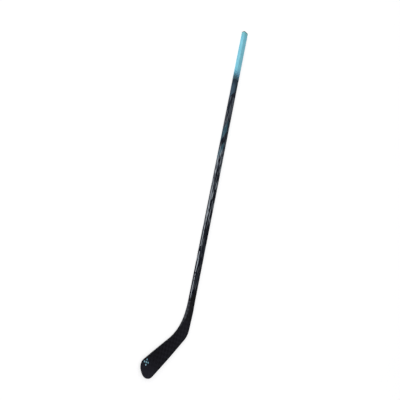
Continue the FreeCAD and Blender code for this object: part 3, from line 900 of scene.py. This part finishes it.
twill = woven_black("hosel_twill", srgb(10, 9, 13), srgb(78, 80, 86), 0.5, on_narrow_sides)
matte = woven_black("blade_matte", srgb(10, 9, 14), srgb(54, 54, 64), 0.58, over_blade)
edge = woven_black("rail_lacquer", srgb(9, 9, 12), srgb(74, 76, 82), 0.5, next_to_hosel)
for piece, material in ((hosel, twill), (forehand, matte), (backhand, matte), (rail, edge)):
    piece.data.materials.append(material)
print("weave of tows", TOW, "mm wide")

# %% [markdown]
# ## Toe mark and the pieces inside
# The toe carries a small check of thin film squares, let into the skin. They are right as solids and keep
# their CAD mesh. So do the foam cores, the rib, the tenon and the glue, which nobody sees until the stick
# breaks. They could stay grey, but each still gets the finish of what it is made of, so that a cut
# through the stick reads.

# %% Film and foam
FILM_SWEEP = (1010, 1050)


def mark_film():
    finish = Finish("mark_film")
    x, y, z = finish.place()
    sweep = (x - y).ramp(*FILM_SWEEP)
    grain = finish.noise(finish.vector(x / 2, y / 2, z), 1.0, 3.0)
    return finish.surface(
        Base_Color=finish.mix(sweep * 0.7 + grain * 0.3, srgb(84, 142, 162), srgb(150, 196, 210)),
        Roughness=0.35 + grain * 0.2,
        Normal=finish.bump(grain, 0.00005, 0.3),
    )


def foam_cells():
    finish = Finish("foam_cells")
    x, y, z = finish.place()
    cell = finish.add("TexVoronoi", {"feature": "F1"}, {"Vector": finish.vector(x, y, z), "Scale": 0.9})
    cloud = finish.noise(finish.vector(x / 20, y / 20, z / 20), 1.0, 3.0)
    return finish.surface(
        Base_Color=finish.mix(cloud, srgb(226, 208, 160), srgb(196, 170, 112)),
        Roughness=0.85 + cell * 0.1,
        Normal=finish.bump(cell, 0.0004, 0.8),
    )


# %% Bare carbon and glue
def bare_carbon():
    finish = Finish("bare_carbon")
    x, y, z = finish.place()
    fibre = finish.noise(finish.vector(x / 40, y * 2, z * 2), 1.0, 4.0)
    return finish.surface(
        Base_Color=finish.mix(fibre.ramp(0.3, 0.7), srgb(22, 22, 24), srgb(54, 55, 58)),
        Roughness=0.35 + fibre * 0.2,
        Normal=finish.bump(fibre, 0.0001, 0.5),
    )


def amber_glue():
    finish = Finish("amber_glue")
    x, y, z = finish.place()
    flow = finish.noise(finish.vector(x / 6, y / 6, z / 6), 1.0, 5.0)
    return finish.surface(
        Base_Color=finish.mix(flow, srgb(150, 104, 38), srgb(206, 164, 92)),
        Roughness=0.2 + flow * 0.2,
        Normal=finish.bump(flow, 0.0003, 0.5),
    )


# %% Paint the pieces that keep their CAD mesh
KEPT = {
    mark_film: ("toe_mark",),
    foam_cells: ("hosel_core", "blade_core_upper", "blade_core_lower"),
    bare_carbon: ("tenon", "blade_rib"),
    amber_glue: ("plug_glue", "tenon_glue"),
}
for paint, names in KEPT.items():
    material = paint()
    for name in names:
        nodes[name].data.materials.clear()
        nodes[name].data.materials.append(material)
    print(material.name, "on", ", ".join(names))

# %% [markdown]
# ## Floor and light
# The stick lies on a plain white floor under a white sky. A floor and a sky that are white enough for the
# picture would throw so much light that the stick would be washed out. So the eye, and a mirror, see a
# sky at exactly white and a floor that is part glow and part the real lit one, which carries the shadow.
# The two add up to white where no shadow falls. Far from the stick plain white takes over, and floor and
# sky meet without an edge. The light that reaches the stick comes from a dimmer sky, brighter on the
# toe's side, and from one big soft lamp far off on that side, so the shadow falls behind the bottom edge
# of the blade.

# %% Floor
FLOOR_REACH, GLOW_SHARE, GLOW, WHITE = 14.0, 0.45, 1.48, 1.0
SHADOW_REACH, GLOW_REACH = 1.5, 4.5


def floor_finish():
    finish = Finish("floor_white")
    point = finish.add("TexCoord", output=3)
    x, y, _ = finish.split(point)
    far = (x * x + y * y).sum("SQRT").ramp(SHADOW_REACH, GLOW_REACH)
    seen = finish.seen()
    dust = finish.noise(point, 3.0, 2.0)
    paint = finish.mix(dust, srgb(248, 248, 250), srgb(252, 252, 254))
    lit = finish.add("BsdfDiffuse", sockets={"Color": paint})
    glow, white = (
        finish.add("Emission", sockets={"Color": (1, 1, 1, 1), "Strength": strength})
        for strength in (GLOW, WHITE)
    )
    near = finish.add("MixShader", sockets={0: seen * GLOW_SHARE, 1: lit, 2: glow})
    shader = finish.add("MixShader", sockets={0: seen * far, 1: near, 2: white})
    finish.add("OutputMaterial", sockets={"Surface": shader})
    return finish.block


ground = bmesh.new()
bmesh.ops.create_grid(
    ground, x_segments=8, y_segments=8, size=FLOOR_REACH, matrix=Matrix.Translation((0, 0, cad_low.z))
)
floor_mesh = bpy.data.meshes.new("floor")
ground.to_mesh(floor_mesh)
ground.free()
floor = bpy.data.objects.new("floor", floor_mesh)
floor_mesh.materials.append(floor_finish())
bpy.context.collection.objects.link(floor)
print("floor at", round(1000 * cad_low.z, 2), "mm")

# %% Light
SKY_DIM, SKY_BRIGHT, SKY_TURN = 0.25, 0.82, 0.6
KEY_PLACE, KEY_SIZE, KEY_WATTS = (-0.6, -10.2, 6.2), 6.0, 470


def add_lamp(name, place, target, size, watts):
    lamp = bpy.data.objects.new(name, bpy.data.lights.new(name, "AREA"))
    lamp.data.size = size
    lamp.data.energy = watts
    lamp.location = place
    lamp.rotation_euler = (Vector(target) - Vector(place)).to_track_quat("-Z", "Y").to_euler()
    bpy.context.collection.objects.link(lamp)
    return lamp


def sky_finish():
    finish = Finish("sky", bpy.data.worlds)
    dim, bright, white = (
        finish.add("Background", sockets={"Color": (1, 1, 1, 1), "Strength": strength})
        for strength in (SKY_DIM, SKY_BRIGHT, WHITE)
    )
    _, y, _ = finish.split(finish.add("TexCoord"))
    light = finish.add("MixShader", sockets={0: y.ramp(SKY_TURN, -SKY_TURN), 1: dim, 2: bright})
    shader = finish.add("MixShader", sockets={0: finish.seen(), 1: light, 2: white})
    finish.add("OutputWorld", sockets={"Surface": shader})
    return finish.block


bpy.context.scene.world = sky_finish()
key = add_lamp("key", KEY_PLACE, (0.0, 0.0, 0.0), KEY_SIZE, KEY_WATTS)
print("sky", SKY_DIM, "to", SKY_BRIGHT, "and key lamp", key.data.energy, "W")

# %% [markdown]
# ## Camera
# The photograph was taken from the toe's side, about 40 degrees above the floor, with the camera rolled
# so that the stick runs up the picture. Its place and its three axes come from fitting the stick's
# silhouette, and its lens from the same fit. The axes could be turned into angles, but a camera looks
# along its own -Z with Y up, so they go straight into its matrix.

# %% Camera
CAMERA_PLACE = Vector((0.9580, -1.8228, 1.6415))
CAMERA_RIGHT = Vector((-0.190466, 0.619140, 0.761832))
CAMERA_DOWN = Vector((0.923251, 0.376736, -0.075350))
SENSOR, LENS = 36.0, 52.035

camera = bpy.data.objects.new("camera", bpy.data.cameras.new("camera"))
camera.data.sensor_width = SENSOR
camera.data.sensor_fit = "HORIZONTAL"
camera.data.lens = LENS
turned = Matrix((CAMERA_RIGHT, -CAMERA_DOWN, CAMERA_RIGHT.cross(-CAMERA_DOWN))).transposed()
camera.matrix_world = Matrix.Translation(CAMERA_PLACE) @ turned.to_4x4()
bpy.context.collection.objects.link(camera)
bpy.context.scene.camera = camera
bpy.context.scene.view_settings.view_transform = "Standard"
print("camera", [round(side, 2) for side in CAMERA_PLACE], "lens", LENS)
